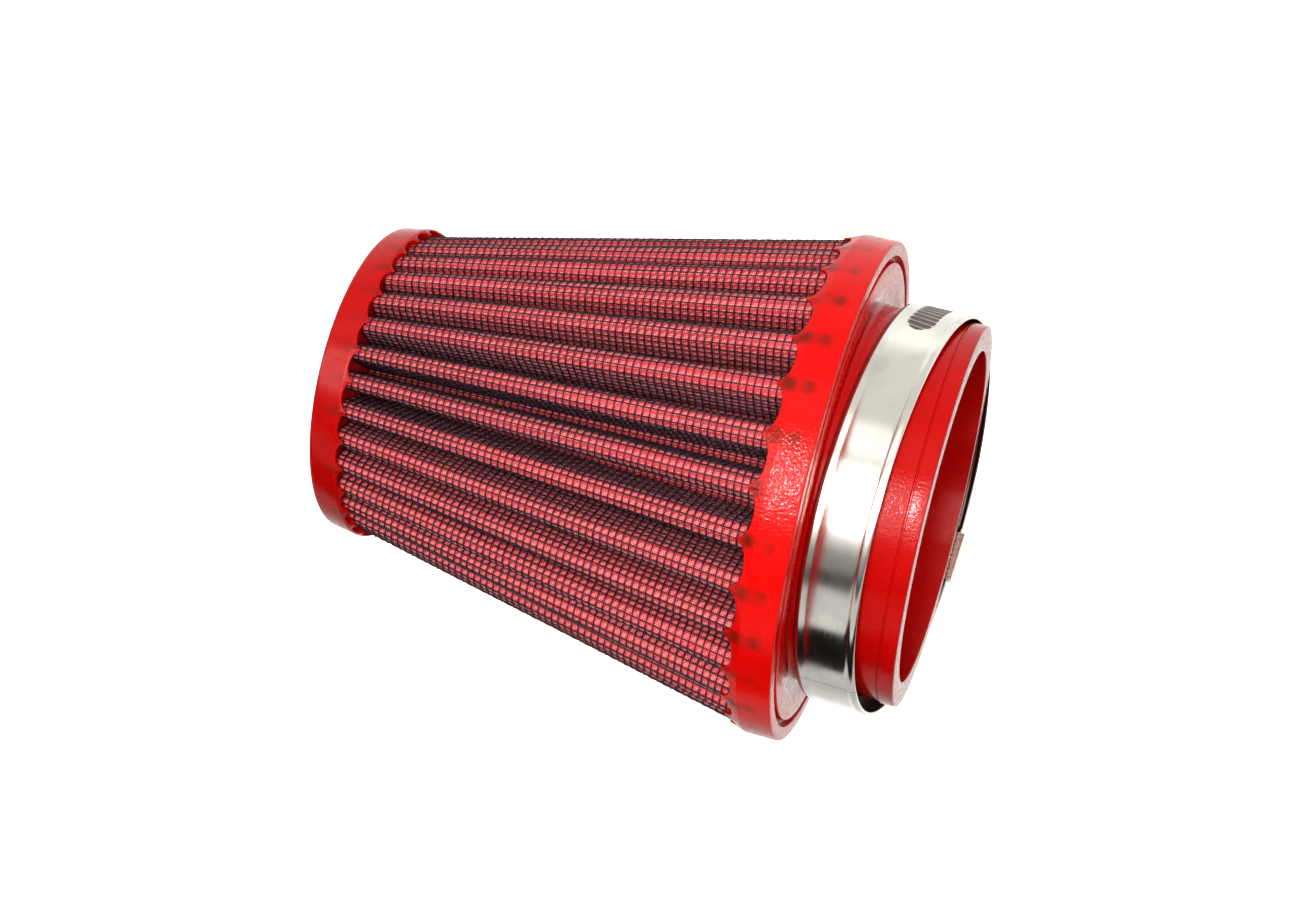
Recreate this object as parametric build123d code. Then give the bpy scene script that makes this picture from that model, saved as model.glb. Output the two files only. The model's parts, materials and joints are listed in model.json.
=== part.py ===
from build123d import *
import math
import os

# Clamp-on conical air filter, in millimetres.
# Origin: centre of the neck's mouth. +X runs out of the mouth along the bore, +Z is up.
# Angles round the filter are measured from +Y towards +Z.

# ---- driving dimensions: polyurethane neck, flange and end cap ----
BORE_R = 35.0                 # fits a 70 mm intake stub
NECK_R = 39.9
LIP_R = 40.3                  # low retaining lip at the mouth
LIP_LENGTH = 3.1
LIP_ROUND = 0.4
FLANGE_FACE_X = -21.4
FLANGE_R = 53.2
FLANGE_ROUND = 0.4
FLANGE_RIM_LENGTH = 6.9       # straight part of the rim
FLANGE_REAR_X = -30.2
FLANGE_REAR_R = 52.35
FACE_GROOVE_OUTER_R = 50.2
FACE_GROOVE_INNER_R = 48.7
FACE_GROOVE_DEPTH = 1.8
DISH_R = 44.4                 # inside this the face falls away a little towards the neck
DISH_DEPTH = 0.5
ROOT_FILLET = 1.0

CAP_BACK_X = -127.7
CAP_EDGE_X = -119.8
CAP_EDGE_R = 34.3
CAP_BACK_R = 33.4
CAP_ROUND = 1.4
CAP_INNER_FACE_X = -120.6     # face of the cap seen from inside the filter

# ---- driving dimensions: pleated filter pack ----
PLEATS = 32
CREST_ANGLE = 0.6             # angle of one crest
CREST_R_AT_FLANGE = 52.0      # crest radius where the pack leaves the flange
CREST_TAPER = 0.2097          # loss of crest radius per millimetre towards the cap
PLEAT_DEPTH = 13.4            # crest to inner fold, the same all the way along
EMBED = 4.2                   # length of pack moulded into each end
PACK_FRONT_X = FLANGE_REAR_X + EMBED
PACK_BACK_X = CAP_EDGE_X - EMBED
CREST_BEND_R = {"front": 2.9, "back": 1.95}
VALLEY_BEND_R = {"front": 0.7, "back": 0.28}

WIRE_MESH_T = 0.22
GAUZE_T = 0.20
LAYER_GAP = 0.04
GAUZE_PLIES = 4
PACK_T = 2 * WIRE_MESH_T + GAUZE_PLIES * GAUZE_T + (GAUZE_PLIES + 1) * LAYER_GAP
HALF_PITCH = math.pi / PLEATS
CUT_OVERRUN = 3.0             # how far a cutting body runs past the ends of what it cuts

SEAM_CLIP_FOLD = 24           # number of the inner fold that the seam clip grips
SEAM_CLIP_FRONT_X = -36.0
SEAM_CLIP_BACK_X = -92.0
SEAM_CLIP_T = 0.35
SEAM_CLIP_DEPTH = 3.0         # length of its two legs
SEAM_CLIP_GAP = 0.08

# ---- driving dimensions: worm-drive clamp ----
CLAMP_CENTRE = (-9.95, -0.35, -1.1)   # the open clamp hangs a little low on the neck
CLAMP_TILT = 6.4                     # and sits cocked by this angle
CLAMP_LEAN_ANGLE = 145.0             # direction in which its axis leans
BAND_HALF_WIDTH = 6.3
BAND_T = 0.6
BAND_INNER_R = 42.3
BAND_EDGE_RISE = 0.3               # the rolled edges stand this much proud
BAND_EDGE_WIDTH = 0.9
BAND_LAYER_GAP = 0.15
START_INNER_R = BAND_INNER_R - BAND_LAYER_GAP - BAND_T
HOUSING_ANGLE = -57.0
START_HEAD_ANGLE = 9.0             # the fixed end of the band, ahead of the housing
START_TAIL_ANGLE = -63.0           # and the far end of its lap, behind the housing
TAIL_ANGLE = -31.0                 # threaded tail, measured from the housing
BAND_SPAN = 346.0                  # length of the sliding strip, in degrees

WORM_R = 3.9
WORM_HALF_LENGTH = 4.55
WORM_CLEARANCE = 0.06
WORM_AXIS_R = BAND_INNER_R + BAND_T + WORM_CLEARANCE + WORM_R
SCREW_NECK_R = 2.2
SCREW_TIP_R = 1.5
JOURNAL_CLEARANCE = 0.06
HEAD_ACROSS_FLATS = 7.0
HEAD_LENGTH = 4.0
HEAD_WASHER_R = 3.9
HEAD_WASHER_T = 0.7
HEAD_GAP = 0.15
HEAD_CROWN_BASE_R = 4.9       # cone that takes the corners off the hexagon
HEAD_CROWN_TOP_R = 3.15
SLOT_WIDTH = 1.1
SLOT_DEPTH = 1.4

HOUSING_HALF_LENGTH = 5.5
HOUSING_T = 0.8
HOUSING_ARCH_INNER_R = WORM_R + 0.2
HOUSING_SKIRT_INNER_X = BAND_HALF_WIDTH + 0.15
HOUSING_SHOULDER_R = 44.3
HOUSING_TAB_TOP_R = 41.1
HOUSING_TAB_T = 0.45
HOUSING_TAB_WIDTH = 1.6


def turned(outline):
    """Solid of revolution about X from a closed outline of (x, radius) points and edges."""
    return revolve(make_face(outline), Axis.X)


def crest_radius(x):
    return CREST_R_AT_FLANGE + CREST_TAPER * (x - FLANGE_REAR_X)


def bend_radius(ends, x):
    share = (x - PACK_FRONT_X) / (PACK_BACK_X - PACK_FRONT_X)
    return ends["front"] + (ends["back"] - ends["front"]) * share


def polar(x, radius, angle):
    return Vector(x, radius * math.cos(angle), radius * math.sin(angle))


def pleat_bends(x):
    """Radii of the crest and valley bends at x, where their centres lie, and the lean of the flank."""
    crest_bend = bend_radius(CREST_BEND_R, x)
    valley_bend = bend_radius(VALLEY_BEND_R, x)
    crest_centre_r = crest_radius(x) - crest_bend
    valley_centre_r = crest_radius(x) - PLEAT_DEPTH + PACK_T + valley_bend
    # the straight flank touches both bends from opposite sides
    across = valley_centre_r * math.sin(HALF_PITCH)
    down = crest_centre_r - valley_centre_r * math.cos(HALF_PITCH)
    lean = math.atan2(across, down)
    flank = lean - math.asin((crest_bend + valley_bend) / math.hypot(across, down))
    return crest_bend, valley_bend, crest_centre_r, valley_centre_r, flank


def pleat_wire(x, offset):
    """Closed pleated outline at x, set in from the outside of the pack by offset."""
    crest_bend, valley_bend, crest_centre_r, valley_centre_r, flank = pleat_bends(x)
    crest_r = crest_bend - offset
    valley_r = valley_bend + offset
    edges = []
    for pleat in range(PLEATS):
        middle = math.radians(CREST_ANGLE) + 2 * pleat * HALF_PITCH
        crest_centre = polar(x, crest_centre_r, middle)
        crest_points = []
        for turn in (flank - math.pi / 2, 0.0, math.pi / 2 - flank):
            crest_points.append(crest_centre + polar(0, crest_r, middle + turn))
        valley_middle = middle + HALF_PITCH
        valley_centre = polar(x, valley_centre_r, valley_middle)
        valley_turn = math.pi / 2 + flank + HALF_PITCH
        valley_points = []
        for turn in (-valley_turn, math.pi, valley_turn):
            valley_points.append(valley_centre + polar(0, valley_r, valley_middle + turn))
        next_start = crest_points[0].rotate(Axis.X, math.degrees(2 * HALF_PITCH))
        edges.append(ThreePointArc(*crest_points))
        edges.append(Line(crest_points[2], valley_points[0]))
        edges.append(ThreePointArc(*valley_points))
        edges.append(Line(valley_points[2], next_start))
    return Wire(edges)


def pleat_core(offset, overrun=0.0):
    """Solid bounded by the pleated surface that lies offset inside the pack."""
    front = pleat_wire(PACK_FRONT_X + overrun, offset)
    back = pleat_wire(PACK_BACK_X - overrun, offset)
    return Solid.make_loft([front, back], ruled=True)


def pleat_layer(offset, thickness):
    """One pleated sheet of the pack."""
    return pleat_core(offset) - pleat_core(offset + thickness, CUT_OVERRUN)


def make_neck_flange(pack):
    face_x = FLANGE_FACE_X
    root_x = face_x - DISH_DEPTH
    path = Polyline(
        (root_x, NECK_R + ROOT_FILLET),
        (face_x, DISH_R),
        (face_x, FACE_GROOVE_INNER_R),
        (face_x - FACE_GROOVE_DEPTH, FACE_GROOVE_INNER_R),
        (face_x - FACE_GROOVE_DEPTH, FACE_GROOVE_OUTER_R),
        (face_x, FACE_GROOVE_OUTER_R),
        (face_x, FLANGE_R - FLANGE_ROUND),
        (face_x - FLANGE_ROUND, FLANGE_R),
        (face_x - FLANGE_RIM_LENGTH, FLANGE_R),
        (FLANGE_REAR_X, FLANGE_REAR_R),
        (FLANGE_REAR_X, BORE_R),
        (0, BORE_R),
        (0, LIP_R - LIP_ROUND),
        (-LIP_ROUND, LIP_R),
        (-LIP_LENGTH, LIP_R),
        (-LIP_LENGTH, NECK_R),
        (root_x + ROOT_FILLET, NECK_R),
    )
    root = RadiusArc((root_x + ROOT_FILLET, NECK_R), (root_x, NECK_R + ROOT_FILLET), ROOT_FILLET)
    return turned([path, root]) - pack


def make_end_cap(pack):
    path = Polyline(
        (CAP_BACK_X, CAP_BACK_R - CAP_ROUND),
        (CAP_BACK_X, 0),
        (CAP_INNER_FACE_X, 0),
        (CAP_INNER_FACE_X, crest_radius(CAP_EDGE_X) - PLEAT_DEPTH),
        (CAP_EDGE_X, crest_radius(CAP_EDGE_X) - PLEAT_DEPTH + PACK_T),
        (CAP_EDGE_X, CAP_EDGE_R - CAP_ROUND / 2),
        (CAP_EDGE_X - CAP_ROUND, CAP_EDGE_R),
        (CAP_BACK_X + CAP_ROUND, CAP_BACK_R),
    )
    corner_start = (CAP_BACK_X + CAP_ROUND, CAP_BACK_R)
    corner_end = (CAP_BACK_X, CAP_BACK_R - CAP_ROUND)
    corner = RadiusArc(corner_start, corner_end, -CAP_ROUND)
    return turned([path, corner]) - pack


def seam_clip_wire(x):
    """Section of the seam clip at x: a channel that follows one inner fold of the pack."""
    _, valley_bend, _, valley_centre_r, flank = pleat_bends(x)
    middle = math.radians(CREST_ANGLE) + (2 * SEAM_CLIP_FOLD + 1) * HALF_PITCH
    centre = polar(x, valley_centre_r, middle)
    turn = math.pi / 2 + flank + HALF_PITCH
    leg = {side: polar(0, SEAM_CLIP_DEPTH, middle + side * (flank + HALF_PITCH)) for side in (-1, 1)}
    bends = []
    for grow in (SEAM_CLIP_GAP, SEAM_CLIP_GAP + SEAM_CLIP_T):
        radius = valley_bend + PACK_T + grow
        bends.append([centre + polar(0, radius, middle + angle) for angle in (-turn, math.pi, turn)])
    inner, outer = bends
    return Wire([
        ThreePointArc(*inner),
        Line(inner[2], inner[2] + leg[1]),
        Line(inner[2] + leg[1], outer[2] + leg[1]),
        Line(outer[2] + leg[1], outer[2]),
        ThreePointArc(*reversed(outer)),
        Line(outer[0], outer[0] + leg[-1]),
        Line(outer[0] + leg[-1], inner[0] + leg[-1]),
        Line(inner[0] + leg[-1], inner[0]),
    ])


def make_seam_clip():
    """Folded metal channel that grips the joined ends of the pack at one inner fold."""
    ends = [seam_clip_wire(SEAM_CLIP_FRONT_X), seam_clip_wire(SEAM_CLIP_BACK_X)]
    return Solid.make_loft(ends, ruled=True)


def band_arc(inner_r, start, end):
    """Stretch of band with rolled edges, from angle start to angle end, about X."""
    outer_r = inner_r + BAND_T
    lift = BAND_EDGE_RISE
    flat = BAND_HALF_WIDTH - BAND_EDGE_WIDTH
    outline = Polyline(
        (-BAND_HALF_WIDTH, inner_r + lift),
        (-flat, inner_r),
        (flat, inner_r),
        (BAND_HALF_WIDTH, inner_r + lift),
        (BAND_HALF_WIDTH, outer_r + lift),
        (flat, outer_r),
        (-flat, outer_r),
        (-BAND_HALF_WIDTH, outer_r + lift),
        close=True,
    )
    return Rot(X=start) * revolve(make_face(outline), Axis.X, end - start)


def make_housing():
    """Worm housing, built on the +Y side with the screw along Z; the head is on the -Z side."""
    arch_outer = HOUSING_ARCH_INNER_R + HOUSING_T
    skirt_inner = HOUSING_SKIRT_INNER_X
    skirt_outer = skirt_inner + HOUSING_T
    shoulder = HOUSING_SHOULDER_R
    tab_bottom = HOUSING_TAB_TOP_R - HOUSING_TAB_T
    tab_inner = skirt_inner - HOUSING_TAB_WIDTH
    length = 2 * HOUSING_HALF_LENGTH
    arch_height = WORM_AXIS_R - shoulder
    shell = Pos(0, WORM_AXIS_R) * Circle(arch_outer)
    shell += Pos(0, shoulder + arch_height / 2) * Rectangle(2 * arch_outer, arch_height)
    shoulder_top = shoulder + HOUSING_T
    skirt_height = shoulder_top - tab_bottom
    shell += Pos(0, tab_bottom + skirt_height / 2) * Rectangle(2 * skirt_outer, skirt_height)
    hollow = Pos(0, WORM_AXIS_R) * Circle(HOUSING_ARCH_INNER_R)
    drop = WORM_AXIS_R - HOUSING_TAB_TOP_R
    hollow += Pos(0, WORM_AXIS_R - drop / 2) * Rectangle(2 * HOUSING_ARCH_INNER_R, drop)
    hollow_height = shoulder - HOUSING_TAB_TOP_R
    hollow += Pos(0, HOUSING_TAB_TOP_R + hollow_height / 2) * Rectangle(2 * skirt_inner, hollow_height)
    hollow += Pos(0, tab_bottom) * Rectangle(2 * tab_inner, 2 * HOUSING_TAB_T)
    body = extrude(shell - hollow, length)
    wall_section = Pos(0, WORM_AXIS_R) * Circle(arch_outer)
    wall_section -= Pos(0, tab_bottom) * Rectangle(2 * arch_outer, 2 * (shoulder - tab_bottom))
    wall = extrude(wall_section, HOUSING_T)
    head_wall = wall - Pos(0, WORM_AXIS_R) * Cylinder(SCREW_NECK_R + JOURNAL_CLEARANCE, length)
    tip_wall = wall - Pos(0, WORM_AXIS_R) * Cylinder(SCREW_TIP_R + JOURNAL_CLEARANCE, length)
    body += head_wall
    body += Pos(0, 0, length - HOUSING_T) * tip_wall
    beyond_tip = Box(
        2 * arch_outer, 2 * arch_height, 2 * arch_outer, align=(Align.CENTER, Align.CENTER, Align.MIN)
    )
    nose = (Sphere(arch_outer) & beyond_tip) - Sphere(HOUSING_ARCH_INNER_R)
    body += Pos(0, WORM_AXIS_R, length) * nose
    return Pos(0, 0, -HOUSING_HALF_LENGTH) * body


def make_screw():
    """Worm screw along Z, tip up, slotted hexagon head on the -Z side."""
    neck_start = -HOUSING_HALF_LENGTH - HEAD_GAP
    worm = Cylinder(WORM_R, 2 * WORM_HALF_LENGTH)
    neck = Pos(0, 0, neck_start) * extrude(Circle(SCREW_NECK_R), -neck_start)
    tip = extrude(Circle(SCREW_TIP_R), HOUSING_HALF_LENGTH)
    washer = Pos(0, 0, neck_start) * extrude(Circle(HEAD_WASHER_R), -HEAD_WASHER_T)
    head_top = neck_start - HEAD_WASHER_T
    hexagon = RegularPolygon(HEAD_ACROSS_FLATS / 2, 6, major_radius=False)
    head = Pos(0, 0, head_top) * extrude(hexagon, -HEAD_LENGTH)
    crown = Cone(
        HEAD_CROWN_BASE_R, HEAD_CROWN_TOP_R, HEAD_LENGTH,
        rotation=(180, 0, 0), align=(Align.CENTER, Align.CENTER, Align.MIN)
    )
    head &= Pos(0, 0, head_top) * crown
    slot = Pos(0, 0, head_top - HEAD_LENGTH) * Box(2 * HEAD_ACROSS_FLATS, SLOT_WIDTH, 2 * SLOT_DEPTH)
    screw = worm + neck + tip + washer + head - slot
    return Pos(0, WORM_AXIS_R) * screw


def clamp_frame():
    """Places a clamp piece, built about X, on the cocked axis of the open clamp."""
    lean = math.radians(CLAMP_LEAN_ANGLE)
    tilt = math.radians(CLAMP_TILT)
    axis = polar(math.cos(tilt), math.sin(tilt), lean)
    up = Vector(0, 0, 1)
    side = up.cross(axis).normalized()
    return Location(Plane(origin=CLAMP_CENTRE, x_dir=axis, z_dir=axis.cross(side)))


def save(name, shape):
    shape.label = name
    export_step(shape, os.path.join("parts", name + ".step"))


def main():
    os.makedirs("parts", exist_ok=True)
    pack = pleat_core(0.0) - pleat_core(PACK_T, CUT_OVERRUN)
    save("neck_flange", make_neck_flange(pack))
    save("end_cap", make_end_cap(pack))

    save("outer_wire_mesh", pleat_layer(0.0, WIRE_MESH_T))
    offset = WIRE_MESH_T + LAYER_GAP
    for ply in range(1, GAUZE_PLIES + 1):
        save(f"cotton_gauze_ply_{ply}", pleat_layer(offset, GAUZE_T))
        offset += GAUZE_T + LAYER_GAP
    save("inner_wire_mesh", pleat_layer(offset, WIRE_MESH_T))
    save("seam_clip", make_seam_clip())

    place = clamp_frame()
    housing_turn = Rot(X=HOUSING_ANGLE)
    start = band_arc(START_INNER_R, START_TAIL_ANGLE, START_HEAD_ANGLE)
    save("clamp_band_start", place * housing_turn * start)
    strip = band_arc(BAND_INNER_R, TAIL_ANGLE, TAIL_ANGLE + BAND_SPAN)
    save("clamp_band", place * housing_turn * strip)
    save("clamp_housing", place * housing_turn * make_housing())
    save("clamp_screw", place * housing_turn * make_screw())


main()
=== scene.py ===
"""Looks of a clamp-on cone air filter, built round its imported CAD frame.

Outlines and wires are worked out in millimetres and turned into metres when a mesh is made.
"""

import json
import math

import bpy
import numpy as np
from mathutils import Matrix, Vector


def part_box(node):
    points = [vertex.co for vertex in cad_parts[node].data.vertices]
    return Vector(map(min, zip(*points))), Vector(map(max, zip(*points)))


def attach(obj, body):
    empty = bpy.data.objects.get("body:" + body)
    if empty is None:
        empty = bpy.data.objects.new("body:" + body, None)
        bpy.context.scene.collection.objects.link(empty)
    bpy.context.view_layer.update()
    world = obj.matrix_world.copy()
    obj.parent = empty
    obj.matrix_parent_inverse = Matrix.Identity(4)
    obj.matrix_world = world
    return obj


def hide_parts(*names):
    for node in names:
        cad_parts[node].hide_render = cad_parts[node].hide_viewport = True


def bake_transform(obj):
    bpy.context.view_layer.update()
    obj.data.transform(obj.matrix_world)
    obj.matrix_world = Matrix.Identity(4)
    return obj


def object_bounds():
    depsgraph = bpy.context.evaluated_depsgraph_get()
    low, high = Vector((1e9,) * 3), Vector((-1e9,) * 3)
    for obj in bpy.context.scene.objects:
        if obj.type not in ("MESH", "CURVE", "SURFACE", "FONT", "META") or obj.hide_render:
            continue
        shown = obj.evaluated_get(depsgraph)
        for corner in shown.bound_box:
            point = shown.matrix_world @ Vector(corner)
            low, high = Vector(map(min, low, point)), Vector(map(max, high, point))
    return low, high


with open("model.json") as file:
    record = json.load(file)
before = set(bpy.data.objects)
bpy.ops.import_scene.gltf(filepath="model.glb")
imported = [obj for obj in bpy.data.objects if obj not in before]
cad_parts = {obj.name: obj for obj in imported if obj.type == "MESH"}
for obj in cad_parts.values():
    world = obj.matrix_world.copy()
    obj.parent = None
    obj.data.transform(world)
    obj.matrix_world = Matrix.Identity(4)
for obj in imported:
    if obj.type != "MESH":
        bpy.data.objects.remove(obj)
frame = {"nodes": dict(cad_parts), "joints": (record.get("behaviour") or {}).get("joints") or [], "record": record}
cad_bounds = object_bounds()

MM = 0.001
SEED = 7
PLEATS = 32
CREST_ANGLE = math.radians(0.6)
HALF_PITCH = math.pi / PLEATS

# ---- places read from the frame ----
neck_low, neck_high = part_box("neck_flange")
cap_low, cap_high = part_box("end_cap")
pack_low, pack_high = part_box("outer_wire_mesh")
FLANGE_R = 0.5 * (neck_high[2] - neck_low[2])
FLANGE_REAR_X = neck_low[0]
CAP_R = 0.5 * (cap_high[2] - cap_low[2])
CAP_BACK_X = cap_low[0]
CAP_EDGE_X = cap_high[0]
PACK_FRONT_X = pack_high[0]
PACK_BACK_X = pack_low[0]
PACK_CREST_R = 0.5 * (pack_high[2] - pack_low[2])

JOINTS = {joint["name"]: joint for joint in frame["joints"]}
BORE = frame["record"]["mounts"][0]["dims"]["r_mm"] * MM


# ---------------------------------------------------------------- mesh helpers
def add_mesh(name, points, faces, material):
    """New object from an array of points and an array of quads."""
    mesh = bpy.data.meshes.new(name)
    points = np.asarray(points, float).reshape(-1, 3)
    faces = np.asarray(faces, int)
    mesh.vertices.add(len(points))
    mesh.vertices.foreach_set("co", points.ravel())
    mesh.loops.add(faces.size)
    mesh.loops.foreach_set("vertex_index", faces.ravel())
    mesh.polygons.add(len(faces))
    mesh.polygons.foreach_set("loop_start", np.arange(0, faces.size, faces.shape[1]))
    mesh.polygons.foreach_set("use_smooth", np.full(len(faces), True))
    mesh.update(calc_edges=True)
    mesh.validate()
    piece = bpy.data.objects.new(name, mesh)
    bpy.context.scene.collection.objects.link(piece)
    mesh.materials.append(material)
    return piece


def grid_faces(rows, columns, wrap_rows=False, wrap_columns=False):
    """Quads of a grid whose points are stored row by row."""
    row = np.arange(rows if wrap_rows else rows - 1)
    column = np.arange(columns if wrap_columns else columns - 1)
    i, j = np.meshgrid(row, column, indexing="ij")
    i2 = (i + 1) % rows
    j2 = (j + 1) % columns
    quads = np.stack([i * columns + j, i * columns + j2, i2 * columns + j2, i2 * columns + j], -1)
    return quads.reshape(-1, 4)


def turned(xr, angles):
    """Points of a turned surface: xr[angle or 1, profile, 2] round X at the angles."""
    xr = np.broadcast_to(xr, (len(angles),) + xr.shape[-2:])
    cosine = np.cos(angles)[:, None]
    sine = np.sin(angles)[:, None]
    return np.stack([xr[..., 0], xr[..., 1] * cosine, xr[..., 1] * sine], -1)


def rounded(corners, steps=4):
    """Outline through (x, r, rounding) corners in millimetres, each eased by a curve tangent to its sides."""
    points = []
    last = len(corners) - 1
    for k, (x, r, rounding) in enumerate(corners):
        here = np.array([x, r], float)
        if k in (0, last) or rounding <= 0:
            points.append(here)
            continue
        before = np.array(corners[k - 1][:2]) - here
        after = np.array(corners[k + 1][:2]) - here
        reach_before = np.linalg.norm(before)
        reach_after = np.linalg.norm(after)
        before /= reach_before
        after /= reach_after
        half = 0.5 * math.acos(np.clip(before @ after, -1, 1))
        set_back = min(rounding / math.tan(half), 0.49 * reach_before, 0.49 * reach_after)
        for step in range(steps + 1):
            t = step / steps
            start = here + before * set_back
            end = here + after * set_back
            points.append((1 - t) ** 2 * start + 2 * t * (1 - t) * here + t * t * end)
    return np.array(points)


# ---------------------------------------------------------------- material helpers
class Nodes:
    """Small builder for a Principled material."""

    def __init__(self, name):
        self.material = bpy.data.materials.new(name)
        self.material.use_nodes = True
        self.tree = self.material.node_tree
        self.shader = self.tree.nodes["Principled BSDF"]
        self.coordinates = self.tree.nodes.new("ShaderNodeTexCoord")

    def set(self, **values):
        for key, value in values.items():
            self.shader.inputs[key.replace("_", " ")].default_value = value

    def link(self, source, target):
        self.tree.links.new(source, target)

    def math(self, operation, *inputs, clamp=False):
        node = self.tree.nodes.new("ShaderNodeMath")
        node.operation = operation
        node.use_clamp = clamp
        for socket, value in zip(node.inputs, inputs):
            self.put(socket, value)
        return node.outputs[0]

    def put(self, socket, value):
        if isinstance(value, bpy.types.NodeSocket):
            self.link(value, socket)
        else:
            socket.default_value = value

    def noise(self, scale, detail=3.0, stretch=(1, 1, 1), vector=None):
        mapping = self.tree.nodes.new("ShaderNodeMapping")
        mapping.inputs["Scale"].default_value = stretch
        self.link(vector or self.coordinates.outputs["Object"], mapping.inputs["Vector"])
        node = self.tree.nodes.new("ShaderNodeTexNoise")
        node.inputs["Scale"].default_value = scale
        node.inputs["Detail"].default_value = detail
        self.link(mapping.outputs[0], node.inputs["Vector"])
        return node.outputs["Fac"]

    def ramp(self, value, low, high, out_low=0.0, out_high=1.0, smooth=True):
        node = self.tree.nodes.new("ShaderNodeMapRange")
        if smooth:
            node.interpolation_type = "SMOOTHSTEP"
        self.put(node.inputs["Value"], value)
        node.inputs["From Min"].default_value = low
        node.inputs["From Max"].default_value = high
        node.inputs["To Min"].default_value = out_low
        node.inputs["To Max"].default_value = out_high
        return node.outputs["Result"]

    def mix(self, factor, a, b):
        node = self.tree.nodes.new("ShaderNodeMix")
        node.data_type = "RGBA"
        self.put(node.inputs["Factor"], factor)
        self.put(node.inputs["A"], a)
        self.put(node.inputs["B"], b)
        return node.outputs["Result"]

    def bump(self, height, distance, strength=1.0):
        node = self.tree.nodes.new("ShaderNodeBump")
        node.inputs["Strength"].default_value = strength
        node.inputs["Distance"].default_value = distance
        self.put(node.inputs["Height"], height)
        self.link(node.outputs[0], self.shader.inputs["Normal"])

    def axes(self):
        split = self.tree.nodes.new("ShaderNodeSeparateXYZ")
        self.link(self.coordinates.outputs["Object"], split.inputs[0])
        return split.outputs


def rgb(red, green, blue):
    return (red, green, blue, 1.0)


def make_polyurethane():
    """Red moulded polyurethane, darkened by painted shade at small radii. The pleat crests sunk in it show through
    as brown marks.
    """
    m = Nodes("red_polyurethane")
    x, y, z = m.axes()
    angle = m.math("ARCTAN2", z, y)
    phase = m.math("MULTIPLY", m.math("SUBTRACT", angle, CREST_ANGLE), float(PLEATS))
    crest = m.math("COSINE", phase)
    marks = None
    for middle, spread, narrow, strength in MARKS:
        along = m.math("DIVIDE", m.math("SUBTRACT", x, middle), spread)
        fade = m.math("EXPONENT", m.math("MULTIPLY", m.math("MULTIPLY", along, along), -1.0))
        near = m.ramp(crest, narrow, 1.0, 0.0, strength)
        mark = m.math("MULTIPLY", fade, near)
        marks = mark if marks is None else m.math("ADD", marks, mark)
    radius = m.math("SQRT", m.math("ADD", m.math("MULTIPLY", y, y), m.math("MULTIPLY", z, z)))
    on_rim = m.ramp(radius, MARKS_FROM_R, MARKS_FROM_R + 3 * MM)
    blotch = m.ramp(m.noise(260.0, 2.0), 0.3, 0.62, 0.35, 1.25)
    amount = m.math("MULTIPLY", m.math("MULTIPLY", marks, on_rim), blotch, clamp=True)
    tone = m.ramp(m.noise(45.0, 3.0), 0.35, 0.7)
    # painted shade: below 40.5 mm radius (neck, bore and cap) the red is a darker copy, rising to the lit rim red
    # by 45.5 mm
    rim_red = m.mix(tone, rgb(0.62, 0.003, 0.002), rgb(0.72, 0.006, 0.004))
    painted_shade_red = m.mix(tone, rgb(0.44, 0.002, 0.001), rgb(0.50, 0.004, 0.003))
    red = m.mix(m.ramp(radius, 0.0405, 0.0455), painted_shade_red, rim_red)
    m.link(m.mix(amount, red, rgb(0.20, 0.012, 0.004)), m.shader.inputs["Base Color"])
    satin = m.ramp(m.noise(900.0, 2.0), 0.3, 0.7, 0.12, 0.28)
    m.set(Subsurface_Weight=0.2, Subsurface_Scale=0.003, IOR=1.42, Specular_IOR_Level=0.32)
    m.shader.inputs["Subsurface Radius"].default_value = (1.0, 0.12, 0.08)
    toward_patch = m.math("COSINE", m.math("SUBTRACT", angle, WRINKLED_ANGLE))
    patch = m.ramp(toward_patch, math.cos(math.radians(14)), math.cos(math.radians(6)))
    patch = m.math("MULTIPLY", patch, m.ramp(radius, 0.036, 0.046, smooth=False))
    wrinkled = m.math("MULTIPLY_ADD", patch, 0.97, 0.03)
    glossier = m.math("MULTIPLY_ADD", wrinkled, -0.6, 1.0)
    m.link(m.math("MULTIPLY", satin, glossier), m.shader.inputs["Roughness"])
    m.bump(m.math("MULTIPLY", m.noise(1750.0, 1.5), wrinkled), 0.00017, 0.9)
    return m.material


def make_wire_coat():
    """Black coating, tinted by the filter oil."""
    m = Nodes("coated_wire")
    tone = m.ramp(m.noise(700.0, 2.0), 0.3, 0.7)
    coat = m.mix(tone, rgb(0.010, 0.003, 0.008), rgb(0.040, 0.011, 0.022))
    m.link(coat, m.shader.inputs["Base Color"])
    m.set(Roughness=0.45, IOR=1.45)
    return m.material


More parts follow.
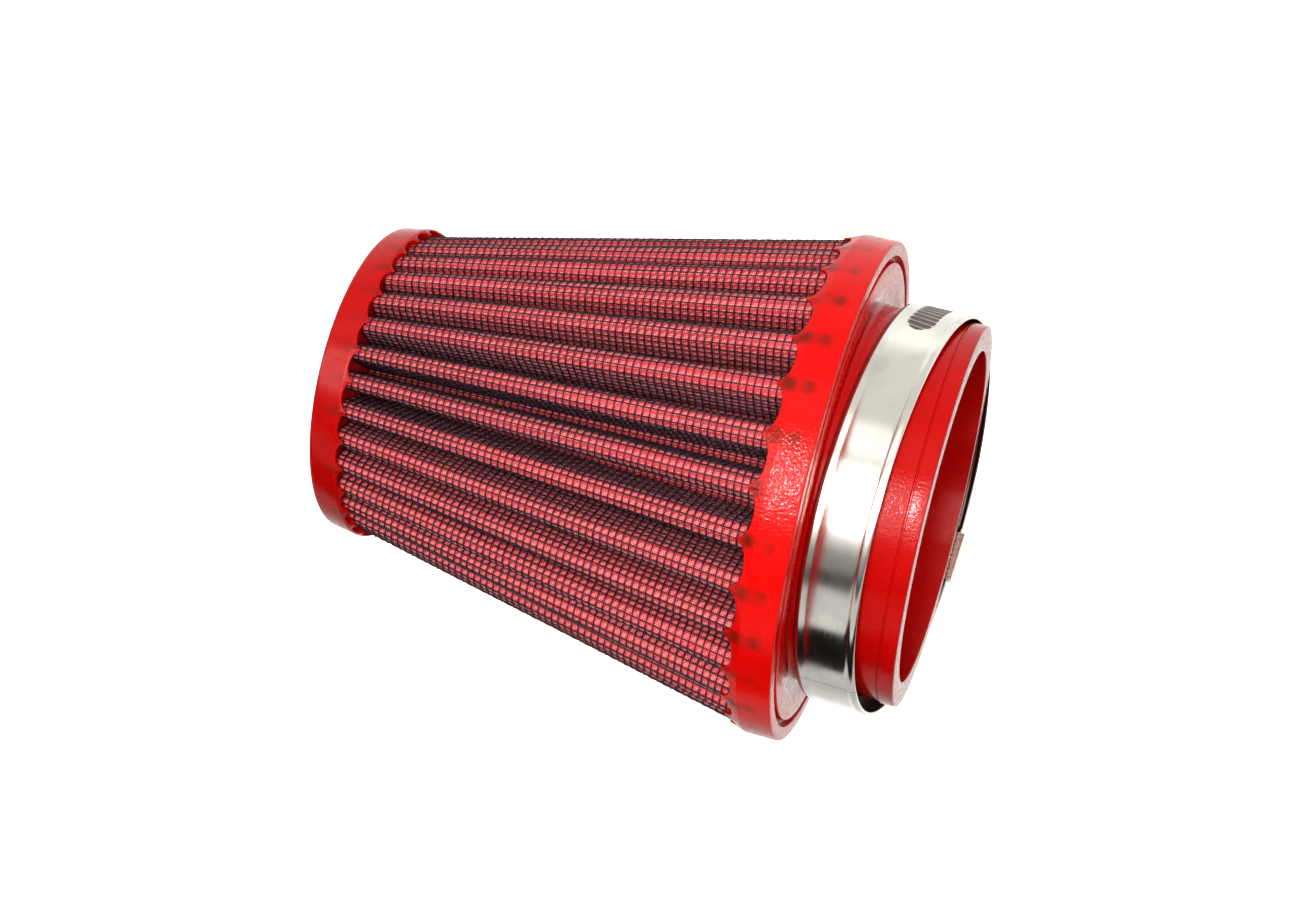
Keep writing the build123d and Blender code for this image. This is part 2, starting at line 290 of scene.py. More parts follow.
def make_gauze():
    """Oiled cotton gauze, with painted shade darkening it towards the wires; UV carries millimetres round the
    folds and along X.
    """
    m = Nodes("oiled_gauze")
    uv = m.coordinates.outputs["UV"]
    split = m.tree.nodes.new("ShaderNodeSeparateXYZ")
    m.link(uv, split.inputs[0])
    threads = []
    for axis in (0, 1):
        wobble = m.math("MULTIPLY", m.noise(0.9, 2.0, vector=uv), 2.5)
        turns = m.math("MULTIPLY", split.outputs[axis], 2 * math.pi / GAUZE_THREAD_PITCH)
        wave = m.math("SINE", m.math("ADD", turns, wobble))
        threads.append(m.ramp(wave, -1.0, 1.0))
    weave = m.math("MULTIPLY", threads[0], threads[1])
    fibre = m.noise(9.0, 4.0, vector=uv)
    height = m.math("ADD", m.math("MULTIPLY", weave, 0.5), m.math("MULTIPLY", fibre, 0.8))
    tone = m.ramp(height, 0.25, 0.85)
    # painted shade: next to the wires the cloth takes a darker copy of its colour, and at the cell centres the lit
    # colour
    swell = m.tree.nodes.new("ShaderNodeAttribute")
    swell.attribute_name = "swell"
    clear_of_wire_shade = m.ramp(swell.outputs["Fac"], 0.0, 0.55, 0.0, 1.0, smooth=False)
    cloth = m.mix(tone, rgb(0.66, 0.060, 0.075), rgb(1.0, 0.36, 0.35))
    wire_shaded_cloth = m.mix(tone, rgb(0.25, 0.008, 0.016), rgb(0.62, 0.060, 0.075))
    m.link(m.mix(clear_of_wire_shade, wire_shaded_cloth, cloth), m.shader.inputs["Base Color"])
    m.set(Roughness=0.55, Sheen_Weight=0.25, Sheen_Roughness=0.4)
    m.set(Subsurface_Weight=0.1, Subsurface_Scale=0.001)
    m.bump(m.math("ADD", m.math("MULTIPLY", weave, 0.6), fibre), 0.00012, 0.8)
    return m.material


def make_inner_mesh():
    """Inner wire mesh, taken as one sheet: dark wire mottled with the red cloth behind it."""
    m = Nodes("inner_wire_grid")
    mottle = m.ramp(m.noise(600.0, 3.0), 0.35, 0.65)
    colour = m.mix(mottle, rgb(0.03, 0.006, 0.008), rgb(0.32, 0.02, 0.03))
    m.link(colour, m.shader.inputs["Base Color"])
    m.set(Roughness=0.5)
    m.bump(m.noise(650.0, 2.0), 0.0002, 0.6)
    return m.material


def make_stainless():
    """Polished strip: fine rolling lines run round it; where it is pressed in, and on its inside face, it is
    rougher and darkened by painted shade.
    """
    m = Nodes("polished_stainless")
    lines = m.noise(9000.0, 3.0, stretch=(1.0, 0.03, 0.03))
    stain = m.noise(120.0, 3.0)
    pressed = m.tree.nodes.new("ShaderNodeAttribute")
    pressed.attribute_name = "pressed"
    # painted shade: the deeper the pressing, the darker the strip, and the inside face gets the same darkening;
    # the same mask adds roughness
    sunk = m.ramp(pressed.outputs["Fac"], 0.0, 0.16)
    strip = m.mix(m.ramp(stain, 0.35, 0.75), rgb(0.80, 0.775, 0.73), rgb(0.68, 0.665, 0.63))
    m.link(m.mix(sunk, strip, rgb(0.20, 0.165, 0.15)), m.shader.inputs["Base Color"])
    grain = m.math("ADD", m.math("MULTIPLY", lines, 0.5), m.math("MULTIPLY", stain, 0.5))
    rough = m.ramp(grain, 0.3, 0.7, 0.10, 0.22)
    m.link(m.math("MULTIPLY_ADD", sunk, 0.25, rough), m.shader.inputs["Roughness"])
    m.set(Metallic=1.0, Anisotropic=0.35)
    m.bump(lines, 0.000004, 0.5)
    return m.material


def make_plated_steel(name, base, roughness):
    """Steel of one colour with a faint mottle."""
    m = Nodes(name)
    tone = m.ramp(m.noise(300.0, 4.0), 0.3, 0.7)
    darker = rgb(*(0.9 * part for part in base))
    m.link(m.mix(tone, darker, rgb(*base)), m.shader.inputs["Base Color"])
    rough = m.ramp(m.noise(1500.0, 3.0), 0.3, 0.7, roughness - 0.03, roughness + 0.05)
    m.link(rough, m.shader.inputs["Roughness"])
    m.set(Metallic=1.0)
    m.bump(m.noise(2500.0, 3.0), 0.000001, 0.3)
    return m.material


# ---------------------------------------------------------------- moulded ends, in mm
LIP_R = 40.3                  # outer radius of the lip round the mouth
LIP_LENGTH = 3.1
NECK_R = 39.9
NECK_NICK_R = 39.65           # fine groove behind the lip
FACE_X = -21.4                # front face of the flange
DISH_R = 44.4                 # the face is sunk a little inside this
FACE_GROOVE = (48.7, 50.2)    # ring groove in the face
GROOVE_DEPTH = 1.8
RIM_END_X = -28.3             # the rim slopes in behind this
RIM_SLOPE = 0.35
FLANGE_CUSP = 2.1            # how much further the moulding reaches on a crest, in mm
FLANGE_VALLEY_X = FLANGE_REAR_X / MM + 0.3
CAP_CUSP = 1.35
CAP_CREST_X = CAP_EDGE_X / MM + 0.15
GAUZE_THREAD_PITCH = 0.42
# brown marks on the mouldings: middle x, spread along x, narrowness round the crest, strength
MARKS = [
    (FLANGE_REAR_X + 0.5 * MM, 2.1 * MM, 0.25, 0.85),
    (FLANGE_REAR_X + 4.8 * MM, 1.3 * MM, 0.30, 0.62),
    (CAP_EDGE_X - 2.1 * MM, 2.2 * MM, 0.15, 0.5),
]
MARKS_FROM_R = 0.030
WRINKLED_ANGLE = math.radians(132)    # the moulding's skin is finely wrinkled round here
ANGLES_PER_PLEAT = 30
PLEAT_ANGLES = CREST_ANGLE + np.arange(PLEATS * ANGLES_PER_PLEAT) * 2 * HALF_PITCH / ANGLES_PER_PLEAT


def cusp(angles):
    """1 on a crest, 0 in the middle of a valley; between the blunt cusps run elliptic arcs."""
    share = (angles - CREST_ANGLE) / (2 * HALF_PITCH)
    from_crest = np.abs(share - np.round(share))
    reach = np.clip((0.5 - from_crest) / 0.455, 0, 1)
    return 1 - np.sqrt(1 - reach ** 2)


def moulded_end(name, valley, crest, material):
    """Turned moulding whose outline changes from valley to crest and back round the filter."""
    share = cusp(PLEAT_ANGLES)[:, None, None]
    outline = rounded(valley) * (1 - share) + rounded(crest) * share
    points = turned(outline * MM, PLEAT_ANGLES)
    faces = grid_faces(points.shape[0], points.shape[1], wrap_rows=True)
    return add_mesh(name, points, faces, material)


def make_neck(material):
    """Neck and flange in one; the flange's rear edge reaches back over every crest."""
    flange_r = FLANGE_R / MM
    bore = BORE / MM
    face = FACE_X
    groove_in, groove_out = FACE_GROOVE
    shared = [
        (FLANGE_REAR_X / MM, bore, 0),
        (0, bore, 0.25),
        (0, LIP_R, 0.5),
        (-LIP_LENGTH, LIP_R, 0.12),
        (-LIP_LENGTH - 0.1, NECK_NICK_R, 0.05),
        (-LIP_LENGTH - 0.4, NECK_NICK_R, 0.05),
        (-LIP_LENGTH - 0.5, NECK_R, 0.1),
        (face - 0.6, NECK_R, 1.0),
        (face, DISH_R, 0.25),
        (face, groove_in, 0.25),
        (face - GROOVE_DEPTH, groove_in + 0.2, 0.3),
        (face - GROOVE_DEPTH, groove_out - 0.2, 0.3),
        (face, groove_out, 0.25),
        (face, flange_r, 0.55),
        (RIM_END_X, flange_r, 0.7),
    ]
    edge_x = FLANGE_VALLEY_X
    edge_r = flange_r - (RIM_END_X - edge_x) * RIM_SLOPE
    valley = shared + [
        (edge_x, edge_r, 0.25),
        (edge_x + 0.9, edge_r - 0.9, 0.3),
        (edge_x + 1.3, edge_r - 4.0, 0.3),
        (edge_x + 0.8, bore + 4.0, 0.3),
        (FLANGE_REAR_X / MM, bore + 1.5, 0.2),
        (FLANGE_REAR_X / MM, bore, 0),
    ]
    edge_x = FLANGE_VALLEY_X - FLANGE_CUSP
    edge_r = flange_r - (RIM_END_X - edge_x) * RIM_SLOPE
    crest = shared + [
        (edge_x, edge_r, 0.2),
        (edge_x + 0.4, edge_r - 0.9, 0.3),
        (edge_x + 1.6, edge_r - 4.0, 0.3),
        (edge_x + 1.6, bore + 4.0, 0.3),
        (FLANGE_REAR_X / MM, bore + 1.5, 0.2),
        (FLANGE_REAR_X / MM, bore, 0),
    ]
    return moulded_end("neck_and_flange", valley, crest, material)


def make_cap(material):
    """Closed cap; its front edge draws back in every valley."""
    back = CAP_BACK_X / MM
    cap_r = CAP_R / MM
    shared = [
        (back, 0, 0),
        (back, cap_r - 5.0, 0),
        (back, cap_r - 3.5, 0.4),
        (back, cap_r - 1.0, 1.6),
        (back + 6.3, cap_r, 0.5),
    ]
    crest_x = CAP_CREST_X
    crest = shared + [
        (crest_x, cap_r - 0.75, 0.2),
        (crest_x - 0.5, cap_r - 1.6, 0.3),
        (crest_x - 1.5, cap_r - 5.0, 0.3),
        (crest_x - 1.0, 0, 0),
    ]
    valley_x = CAP_CREST_X - CAP_CUSP
    valley = shared + [
        (valley_x, cap_r - 0.3, 0.2),
        (valley_x - 0.8, cap_r - 1.3, 0.3),
        (valley_x - 1.0, cap_r - 5.0, 0.3),
        (crest_x - 1.0, 0, 0),
    ]
    return moulded_end("end_cap_moulding", valley, crest, material)


# ---------------------------------------------------------------- pleated pack
PLEAT_DEPTH = 13.4
PACK_T = 1.44
CREST_BEND = (2.9, 1.95)     # at the flange end and at the cap end, in mm
VALLEY_BEND = (0.7, 0.28)
CREST_TAPER = 0.2097
WIRE_PITCH = 1.54
WIRE_R = 0.14
WIRE_CRIMP = 0.07
WIRE_DEPTH = 0.2             # mid-line of the weave below the pack's outer surface
GAUZE_DEPTH = 0.47
GAUZE_PILLOW = 0.17
SIDES = 4


def pleat_section(end, offset, per_pleat):
    """Closed pleated outline at the flange end (0) or the cap end (1), as complex (y, z) in mm."""
    crest_radius = PACK_CREST_R / MM - end * CREST_TAPER * (PACK_FRONT_X - PACK_BACK_X) / MM
    crest_bend = CREST_BEND[end]
    valley_bend = VALLEY_BEND[end]
    crest_centre = crest_radius - crest_bend
    valley_centre = crest_radius - PLEAT_DEPTH + PACK_T + valley_bend
    across = valley_centre * math.sin(HALF_PITCH)
    down = crest_centre - valley_centre * math.cos(HALF_PITCH)
    flank = math.atan2(across, down) - math.asin((crest_bend + valley_bend) / math.hypot(across, down))
    quarter = per_pleat // 4
    t = np.arange(quarter) / quarter
    crest_turn = (math.pi / 2 - flank) * (2 * t - 1)
    valley_turn = (math.pi / 2 + flank + HALF_PITCH)
    arc = -valley_turn - (2 * math.pi - 2 * valley_turn) * t
    crest = crest_centre + (crest_bend - offset) * np.exp(1j * crest_turn)
    valley = (valley_centre + (valley_bend + offset) * np.exp(1j * arc)) * np.exp(1j * HALF_PITCH)
    crest_end = crest_centre + (crest_bend - offset) * np.exp(1j * (math.pi / 2 - flank))
    valley_end = (valley_centre + (valley_bend + offset) * np.exp(1j * valley_turn)) * np.exp(1j * HALF_PITCH)
    next_crest = (crest[0]) * np.exp(2j * HALF_PITCH)
    down_leg = crest_end + (valley[0] - crest_end) * t
    up_leg = valley_end + (next_crest - valley_end) * t
    pleat = np.concatenate([crest, down_leg, valley, up_leg])
    turns = np.exp(1j * (CREST_ANGLE + 2 * HALF_PITCH * np.arange(PLEATS)))
    return (turns[:, None] * pleat[None, :]).ravel()


class PleatSurface:
    """Ruled pleated surface, addressed by distance round the fold and place along the filter."""

    def __init__(self, offset, per_pleat=160):
        self.front = pleat_section(0, offset, per_pleat)
        self.back = pleat_section(1, offset, per_pleat)
        middle = 0.5 * (self.front + self.back)
        step = np.abs(np.diff(np.append(middle, middle[0])))
        self.s = np.concatenate([[0], np.cumsum(step)])
        self.length = self.s[-1]

    def at(self, s, x):
        """Points at fold distance s and place x, both in mm and of the same shape."""
        s = np.mod(s, self.length)
        share = (PACK_FRONT_X / MM - x) / ((PACK_FRONT_X - PACK_BACK_X) / MM)
        ends = []
        for outline in (self.front, self.back):
            closed = np.append(outline, outline[0])
            ends.append(np.interp(s, self.s, closed.real) + 1j * np.interp(s, self.s, closed.imag))
        return ends[0] * (1 - share) + ends[1] * share

    def frame(self, s, x):
        """Point, direction round the fold and outward normal, the last two in the section's plane."""
        here = self.at(s, x)
        along = self.at(s + 0.08, x) - self.at(s - 0.08, x)
        along /= np.abs(along)
        return here, along, -1j * along


def distortion(s, x, surface):
    """Slow drift of the woven grid, in mm, so that no two pleats match."""
    turn = 2 * math.pi * s / surface.length
    drift = 0.16 * np.sin(5 * turn + 0.06 * x) + 0.13 * np.sin(17 * turn - 0.09 * x + 1.3)
    return drift + 0.07 * np.sin(61 * turn + 0.21 * x + 0.4)


def tubes(name, centres, normals, sideways, radius, closed, material):
    """Bundle of wires: centres[wire, step, 3] with two directions across each."""
    wires, steps = centres.shape[:2]
    turn = (np.arange(SIDES) + 0.5) * 2 * math.pi / SIDES
    ring = normals[:, :, None] * np.cos(turn)[:, None] + sideways[:, :, None] * np.sin(turn)[:, None]
    points = centres[:, :, None] + radius * ring
    one = grid_faces(steps, SIDES, wrap_rows=closed, wrap_columns=True)
    faces = np.concatenate([one + k * steps * SIDES for k in range(wires)])
    return add_mesh(name, points * MM, faces, material)


def section_points(x, complex_points):
    """Points in space from a place along X and complex (y, z) numbers."""
    x = np.broadcast_to(x, complex_points.shape)
    return np.stack([x, complex_points.real, complex_points.imag], -1)


def make_wire_mesh(surface, material, name, first_x, last_x, parts):
    """Woven mesh on a pleated surface: long wires down the filter, cross wires round the folds."""
    long_count = int(round(surface.length / WIRE_PITCH / 2)) * 2
    rows = int(round((first_x - last_x) / WIRE_PITCH))
    s = np.arange(long_count) * surface.length / long_count
    x = first_x - (np.arange(rows) + 0.5) * (first_x - last_x) / rows
    pieces = []
    # long wires: one bend at every crossing
    s_grid, x_grid = np.meshgrid(s, x, indexing="ij")
    wander = 0.12 * np.sin(0.11 * x_grid + 2.1 * s_grid) + 0.05 * np.sin(0.9 * s_grid)
    here, along, out = surface.frame(s_grid + wander, x_grid)
    lift = WIRE_CRIMP * np.where((np.arange(long_count)[:, None] + np.arange(rows)[None, :]) % 2, 1.0, -1.0)
    centres = section_points(x_grid, here + out * lift)
    normals = section_points(0 * x_grid, out)
    sideways = section_points(0 * x_grid, along)
    for part, chosen in enumerate(np.array_split(np.arange(long_count), parts[0])):
        bundle = (centres[chosen], normals[chosen], sideways[chosen])
        pieces.append(tubes(f"{name}_long_wires_{part + 1}", *bundle, WIRE_R, False, material))
    # cross wires: a bend at every crossing and a point between
    s_fine = np.arange(2 * long_count) * surface.length / (2 * long_count)
    x_grid, s_grid = np.meshgrid(x, s_fine, indexing="ij")
    here, along, out = surface.frame(s_grid, x_grid)
    sign = np.where((np.arange(2 * long_count)[None, :] // 2 + np.arange(rows)[:, None]) % 2, -1.0, 1.0)
    sign[:, 1::2] = 0.0
    centres = section_points(x_grid + distortion(s_grid, x_grid, surface), here + out * WIRE_CRIMP * sign)
    normals = section_points(0 * x_grid, out)
    sideways = np.zeros_like(normals)
    sideways[..., 0] = 1.0
    for part, chosen in enumerate(np.array_split(np.arange(rows), parts[1])):
        bundle = (centres[chosen], normals[chosen], sideways[chosen])
        pieces.append(tubes(f"{name}_cross_wires_{part + 1}", *bundle, WIRE_R, True, material))
    return pieces, long_count, rows


def make_gauze_ply(surface, long_count, rows, first_x, last_x, material):
    """Cloth pushed out a little through every opening of the mesh."""
    s = np.arange(2 * long_count) * surface.length / (2 * long_count)
    x = first_x - np.arange(2 * rows + 1) * 0.5 * (first_x - last_x) / rows
    s_grid, x_grid = np.meshgrid(s, x, indexing="ij")
    here, along, out = surface.frame(s_grid, x_grid)
    centre = (np.arange(2 * long_count)[:, None] % 2) * (np.arange(2 * rows + 1)[None, :] % 2 == 0)
    random = np.random.default_rng(SEED)
    swell = GAUZE_PILLOW * centre * random.uniform(0.6, 1.25, centre.shape)
    points = section_points(x_grid + distortion(s_grid, x_grid, surface), here + out * swell)
    turns = len(s)
    halves = []
    for half in range(2):
        kept = np.arange(half * turns // 2, (half + 1) * turns // 2 + 1)
        taken = kept % turns
        faces = grid_faces(len(taken), len(x))
        ply = add_mesh(f"gauze_outer_ply_{half + 1}", points[taken] * MM, faces, material)
        # swell is 1 at the cell centres and 0 at the wires; the cloth's painted shade is read from it
        level = ply.data.attributes.new("swell", "FLOAT", "POINT")
        level.data.foreach_set("value", centre[taken].astype(np.float32).ravel())
        layer = ply.data.uv_layers.new(name="cloth")
        corner = np.empty(len(ply.data.loops), int)
        ply.data.loops.foreach_get("vertex_index", corner)
        u = np.broadcast_to((kept * surface.length / turns)[:, None], (len(kept), len(x)))
        uv = np.stack([u.ravel()[corner], x_grid[taken].ravel()[corner]], -1)
        layer.data.foreach_set("uv", uv.ravel())
        halves.append(ply)
    return halves


# ---------------------------------------------------------------- clamp
feed = JOINTS["band_feed"]
screw_joint = JOINTS["screw_turn"]
CLAMP_CENTRE = Vector(feed["pos_m"])
CLAMP_AXIS = -Vector(feed["axis"]).normalized()
SCREW_POINT = Vector(screw_joint["pos_m"])
BAND_HALF_WIDTH = 6.3
BAND_T = 0.6
BAND_R = 42.3
BAND_RISE = 0.3
ROLL_FROM = 4.2                # the strip's edges roll up from here, then over
BAND_SPIRAL = 0.75            # the strip's radius falls by this from its tail to its other end
TAIL_LENGTH = math.radians(31.0)
BAND_END = math.radians(250.0)        # the rest of the way to the housing is a piece of its own
START_END = math.radians(9.0)
STRETCH_FROM = math.radians(-42.0)    # two angles along that piece; main works out the strip's place at each and does not use it
STRETCH_TO = math.radians(-106.0)
THREAD_PITCH = 2.2
THREAD_FROM = math.radians(132.8)     # round end of the pressed thread, ahead of the housing
THREAD_HALF_WIDTH = 2.9
THREAD_OFF_CENTRE = 0.5
THREAD_END_LENGTH = 4.0
THREAD_DEPTH = 0.34
INSIDE_SHADE_AND_DULLNESS = 0.12             # the strip's inside is painted in shade and roughened like this much pressed depth


def clamp_matrix():
    """From clamp coordinates (axis X, housing on the +Y side, screw along Z) to the row frame."""
    radial = SCREW_POINT - CLAMP_CENTRE
    radial -= CLAMP_AXIS * radial.dot(CLAMP_AXIS)
    radial.normalize()
    up = CLAMP_AXIS.cross(radial)
    matrix = Matrix((CLAMP_AXIS, radial, up)).transposed().to_4x4()
    matrix.translation = CLAMP_CENTRE
    return matrix


def place_in_clamp(piece):
    """Move a piece from clamp coordinates to the row frame."""
    piece.data.transform(clamp_matrix())
    return piece


def thread_relief(angle, across):
    """Depth pressed into the strip at an angle from the housing and a distance across it, in mm."""
    distance = (THREAD_FROM - angle) * BAND_R
    across = across + THREAD_OFF_CENTRE
    end = np.clip(distance / THREAD_END_LENGTH, 0, 1)
    half_width = THREAD_HALF_WIDTH * np.sqrt(1 - (1 - end) ** 2)
    inside = np.clip((half_width - np.abs(across)) / 0.5, 0, 1)
    inside = inside * inside * (3 - 2 * inside)
    inside = np.where(distance > 0, inside, 0)
    phase = 2 * math.pi * (angle * BAND_R - 0.21 * across) / THREAD_PITCH
    ridge = 0.5 + 0.5 * np.cos(phase)
    return inside * THREAD_DEPTH * (1 - 0.75 * ridge ** 1.5)


def strip_mesh(name, radii, angles, material, thread=False, round_end=0.0):
    """Rolled-edge strip along the angles, with inner radius radii at each."""
    flat = np.linspace(-1, 1, 33)
    across = flat * BAND_HALF_WIDTH
    edge = np.clip((np.abs(across) - ROLL_FROM) / (BAND_HALF_WIDTH - ROLL_FROM), 0, 1)
    lift = BAND_RISE * np.sin(math.pi * edge ** 1.25) ** 2 - 0.1 * edge ** 4
    a, w = np.meshgrid(angles, across, indexing="ij")
    if round_end:
        from_end = (a - angles[0]) * BAND_R
        reach = np.clip(from_end / round_end, 0, 1)
        w = w * np.where(reach < 1, np.sqrt(1 - (1 - reach) ** 2 * 0.999), 1)
    relief = thread_relief(a, w) if thread else 0 * a
    inner = radii[:, None] + lift[None, :] - relief
    outer = inner + BAND_T
    rim = inner[:, -1:] + 0.5 * BAND_T
    rim_other = inner[:, :1] + 0.5 * BAND_T
    edge_w = w[:, -1:] * 1.012
    ring_r = np.concatenate([outer, rim, inner[:, ::-1], rim_other], axis=1)
    ring_w = np.concatenate([w, edge_w, w[:, ::-1], -edge_w], axis=1)
    ring_a = np.broadcast_to(angles[:, None], ring_r.shape)
    points = np.stack([ring_w, ring_r * np.cos(ring_a), ring_r * np.sin(ring_a)], -1)
    faces = grid_faces(points.shape[0], points.shape[1], wrap_columns=True)
    count = points.shape[1]
    half = count // 2
    last = (points.shape[0] - 1) * count
    caps = []
    for k in range(half - 1):
        caps.append([k + 1, k, count - 2 - k, count - 3 - k])
        caps.append([last + k, last + k + 1, last + count - 3 - k, last + count - 2 - k])
    faces = np.concatenate([faces, np.array(caps)])
    strip = add_mesh(name, points * MM, faces, material)
    for polygon in strip.data.polygons:
        if len({vertex // count for vertex in polygon.vertices}) == 1:
            polygon.use_smooth = False
    # the pressed attribute holds the pressed depth, and on the inside face a fixed level that paints shade there
    pressed = strip.data.attributes.new("pressed", "FLOAT", "POINT")
    inside_shade_and_dullness = np.full_like(relief, INSIDE_SHADE_AND_DULLNESS)
    level = np.concatenate([relief, relief[:, -1:], inside_shade_and_dullness, relief[:, :1]], axis=1)
    pressed.data.foreach_set("value", level.ravel())
    return place_in_clamp(strip)


def strip_radii(angles):
    """Inner radius of the strip: it winds in by its own thickness on the way round to its plain end."""
    share = np.clip((angles + TAIL_LENGTH - math.radians(60)) / math.radians(280), 0, 1)
    return BAND_R - BAND_SPIRAL * share * share * (3 - 2 * share)


def make_band(material):
    """The strip: tail behind the housing, pressed thread over the top, plain stretch under the neck."""
    angles = np.linspace(-TAIL_LENGTH, BAND_END, 940)
    return strip_mesh("clamp_strip", strip_radii(angles), angles, material, thread=True, round_end=4.5)


def make_band_start(material):
    """The rest of the strip, back to its plain end under the housing."""
    angles = np.linspace(BAND_END - 2 * math.pi, START_END, 300)
    return strip_mesh("clamp_strip_start", strip_radii(angles + 2 * math.pi), angles, material)


def strip_place(angle):
    """Point in the middle of the strip at an angle from the housing, in the row frame."""
    radius = BAND_R * MM
    return tuple(clamp_matrix() @ Vector((0, radius * math.cos(angle), radius * math.sin(angle))))


# ---------------------------------------------------------------- studio
def area_light(name, place, target, size, power):
    """Rectangular lamp at a place, facing a target."""
    light = bpy.data.lights.new(name, "AREA")
    light.shape = "RECTANGLE"
    light.size, light.size_y = size
    light.energy = power
    lamp = bpy.data.objects.new(name, light)
    lamp.location = place
    lamp.rotation_euler = (Vector(target) - Vector(place)).to_track_quat("-Z", "Y").to_euler()
    bpy.context.scene.collection.objects.link(lamp)
    return lamp


SKY = 0.45                    # soft light from straight above, and from straight below
GROUND = 0.06
# the room that the gloss mirrors: degrees up from straight ahead (-Y) round the X axis, brightness there
ROOM = [
    (-180, 0.9), (-130, 1.15), (-85, 0.5), (-65, 0.6), (-63, 0.012), (-34, 0.012), (-31.5, 0.72),
    (-7, 0.6), (-4, 0.08), (3, 0.08), (6, 0.28), (16, 0.33), (27, 0.95), (32, 4.0), (62, 4.0),
    (66, 0.95), (69, 0.6), (72, 1.0), (76, 1.3), (88, 1.15), (94, 0.7), (140, 0.75), (152, 1.1), (180, 1.0),
]


def make_world():
    """White to the camera; to the gloss, a room with a soft box, a dark table edge and a dark camera."""
    world = bpy.data.worlds.new("studio")
    bpy.context.scene.world = world
    world.use_nodes = True
    tree = world.node_tree
    background = tree.nodes["Background"]
    coordinates = tree.nodes.new("ShaderNodeTexCoord")
    split = tree.nodes.new("ShaderNodeSeparateXYZ")
    tree.links.new(coordinates.outputs["Generated"], split.inputs[0])

    def calculate(operation, *inputs):
        node = tree.nodes.new("ShaderNodeMath")
        node.operation = operation
        for socket, value in zip(node.inputs, inputs):
            if isinstance(value, bpy.types.NodeSocket):
                tree.links.new(value, socket)
            else:
                socket.default_value = value
        return node.outputs[0]

    forward = calculate("MULTIPLY", split.outputs[1], -1.0)
    angle = calculate("ARCTAN2", split.outputs[2], forward)
    share = calculate("ADD", calculate("DIVIDE", angle, 2 * math.pi), 0.5)
    ramp = tree.nodes.new("ShaderNodeValToRGB")
    stops = ramp.color_ramp.elements
    while len(stops) < len(ROOM):
        stops.new(0.5)
    for stop, (degrees, value) in zip(stops, ROOM):
        stop.position = (degrees + 180) / 360
        stop.color = (value, value, 0.96 * value, 1)
    tree.links.new(share, ramp.inputs[0])
    path = tree.nodes.new("ShaderNodeLightPath")
    lit = calculate("MULTIPLY_ADD", split.outputs[2], 0.5 * (SKY - GROUND), 0.5 * (SKY + GROUND))
    light = tree.nodes.new("ShaderNodeMix")
    light.data_type = "RGBA"
    tree.links.new(path.outputs["Is Glossy Ray"], light.inputs["Factor"])
    tree.links.new(lit, light.inputs["A"])
    tree.links.new(ramp.outputs[0], light.inputs["B"])
    seen = tree.nodes.new("ShaderNodeMix")
    seen.data_type = "RGBA"
    tree.links.new(path.outputs["Is Camera Ray"], seen.inputs["Factor"])
    tree.links.new(light.outputs["Result"], seen.inputs["A"])
    seen.inputs["B"].default_value = (1, 1, 1, 1)
    tree.links.new(seen.outputs["Result"], background.inputs["Color"])


# lamps: name, place, target, side in metres, watts, and whether only gloss sees it or only matt surfaces
LAMPS = [
    ("soft_box", (0.03, -0.36, 0.36), (-0.05, 0, 0), 0.30, 2.6, False),
    ("small_lamp", (-0.17, -0.63, 0.70), (-0.02, -0.03, 0.04), 0.15, 3.8, True),
    ("back_fill", (-0.10, 0.60, 0.45), (-0.05, 0, 0), 0.50, 1.8, False),
]
FLOOR_HALF_SIDE = 4.0
FLOOR_DROP = 0.0001           # the floor lies this far below the lowest point


def make_studio():
    """White floor, a soft key light, a small lamp for the highlights and a fill behind."""
    scene = bpy.context.scene
    scene.view_settings.view_transform = "Standard"
    scene.view_settings.look = "Medium High Contrast"
    make_world()
    size = FLOOR_HALF_SIDE
    z = cad_bounds[0][2] - FLOOR_DROP
    corners = [(-size, -size, z), (size, -size, z), (size, size, z), (-size, size, z)]
    floor_mesh = bpy.data.meshes.new("floor")
    floor_mesh.from_pydata(corners, [], [(0, 1, 2, 3)])
    floor = bpy.data.objects.new("floor", floor_mesh)
    scene.collection.objects.link(floor)
    floor.visible_glossy = False
    floor.visible_diffuse = False
    paint = Nodes("floor_paint")
    paint.set(Base_Color=rgb(0.9, 0.9, 0.9), Roughness=0.9)
    paint.set(Emission_Color=rgb(1, 1, 1), Emission_Strength=0.9)
    floor_mesh.materials.append(paint.material)
    for name, place, target, side, power, only_gloss in LAMPS:
        lamp = area_light(name, place, target, (side, side), power)
        lamp.visible_glossy = only_gloss
        lamp.visible_diffuse = not only_gloss


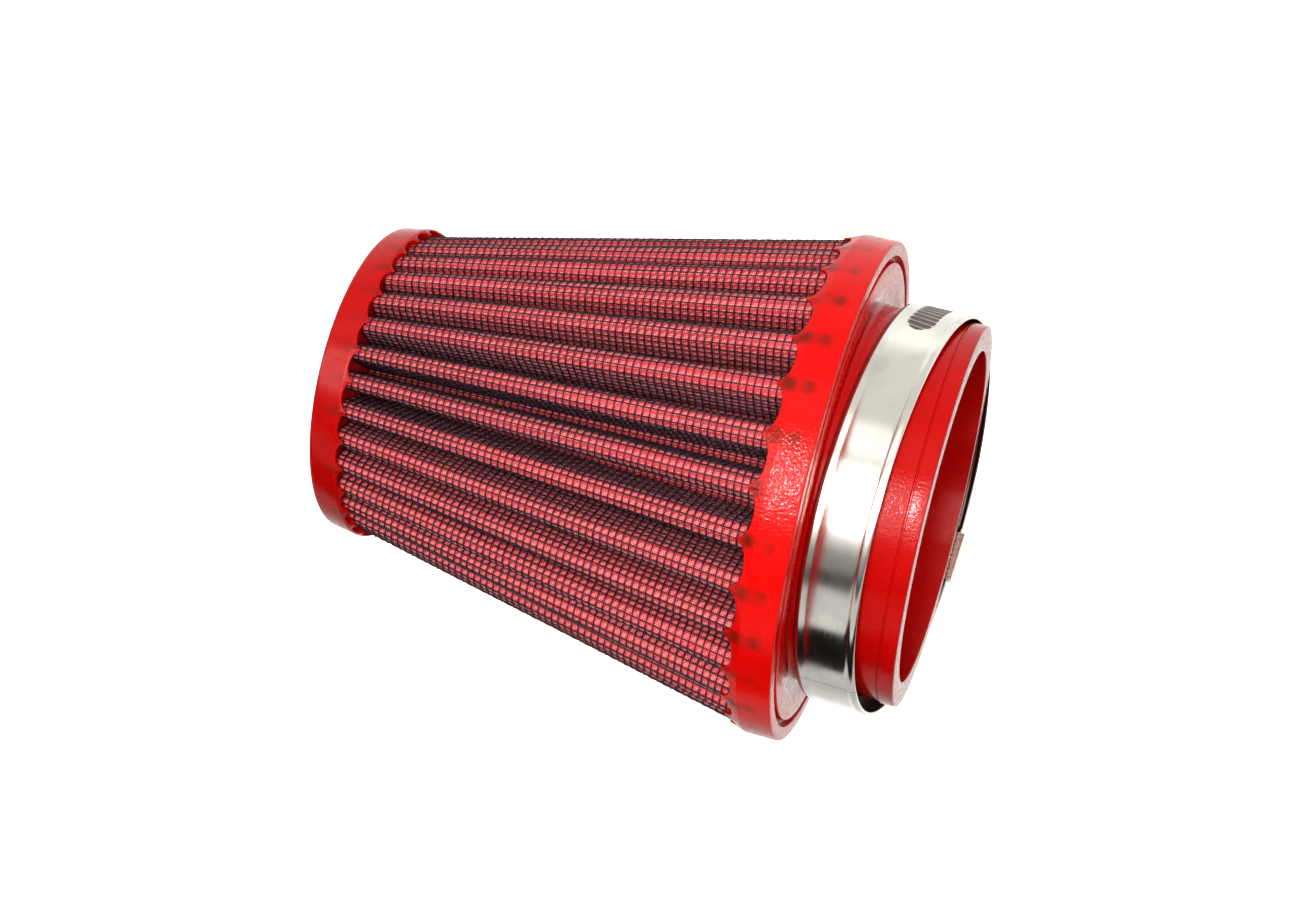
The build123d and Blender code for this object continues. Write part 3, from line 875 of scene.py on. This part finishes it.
CAMERA_PLACE = (0.0413, -0.3093, 0.3400)
CAMERA_FORWARD = (-0.2217, 0.6513, -0.7254)
CAMERA_LENS = 61.5


def make_camera():
    camera_data = bpy.data.cameras.new("camera")
    camera = bpy.data.objects.new("camera", camera_data)
    bpy.context.scene.collection.objects.link(camera)
    camera_data.sensor_width = 36.0
    camera_data.lens = CAMERA_LENS
    camera.location = CAMERA_PLACE
    forward = Vector(CAMERA_FORWARD)
    camera.rotation_euler = forward.to_track_quat("-Z", "Y").to_euler()
    camera_data.clip_start = 0.01
    bpy.context.scene.camera = camera


def main():
    """Make every piece, hide the CAD part it replaces, hang it on the body it rides on, and light the scene."""
    red = make_polyurethane()
    wire = make_wire_coat()
    cloth = make_gauze()
    steel = make_stainless()

    neck = make_neck(red)
    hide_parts("neck_flange")
    cap = make_cap(red)
    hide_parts("end_cap")

    first_x = FLANGE_REAR_X / MM + 2.2
    last_x = CAP_EDGE_X / MM - 2.6
    weave = PleatSurface(WIRE_DEPTH)
    pieces, long_count, rows = make_wire_mesh(weave, wire, "outer_mesh", first_x, last_x, (2, 4))
    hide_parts("outer_wire_mesh")
    plies = make_gauze_ply(PleatSurface(GAUZE_DEPTH), long_count, rows, first_x, last_x, cloth)
    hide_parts("cotton_gauze_ply_1")
    for piece in [neck, cap] + plies + pieces:
        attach(piece, "filter")

    strip = make_band(steel)
    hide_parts("clamp_band")
    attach(strip, "band")
    start = make_band_start(steel)
    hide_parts("clamp_band_start")
    strip_place(STRETCH_FROM)
    strip_place(STRETCH_TO)
    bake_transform(start)

    plated = make_plated_steel("plated_steel", (0.80, 0.76, 0.66), 0.24)
    screw_steel = make_plated_steel("dark_steel", (0.17, 0.18, 0.15), 0.30)
    inner = make_inner_mesh()
    for node, material in (("clamp_housing", plated), ("clamp_screw", screw_steel), ("seam_clip", steel),
                           ("inner_wire_mesh", inner), ("cotton_gauze_ply_2", cloth),
                           ("cotton_gauze_ply_3", cloth), ("cotton_gauze_ply_4", cloth)):
        for material_slot in frame["nodes"][node].material_slots:
            material_slot.material = material
    make_studio()
    make_camera()


main()
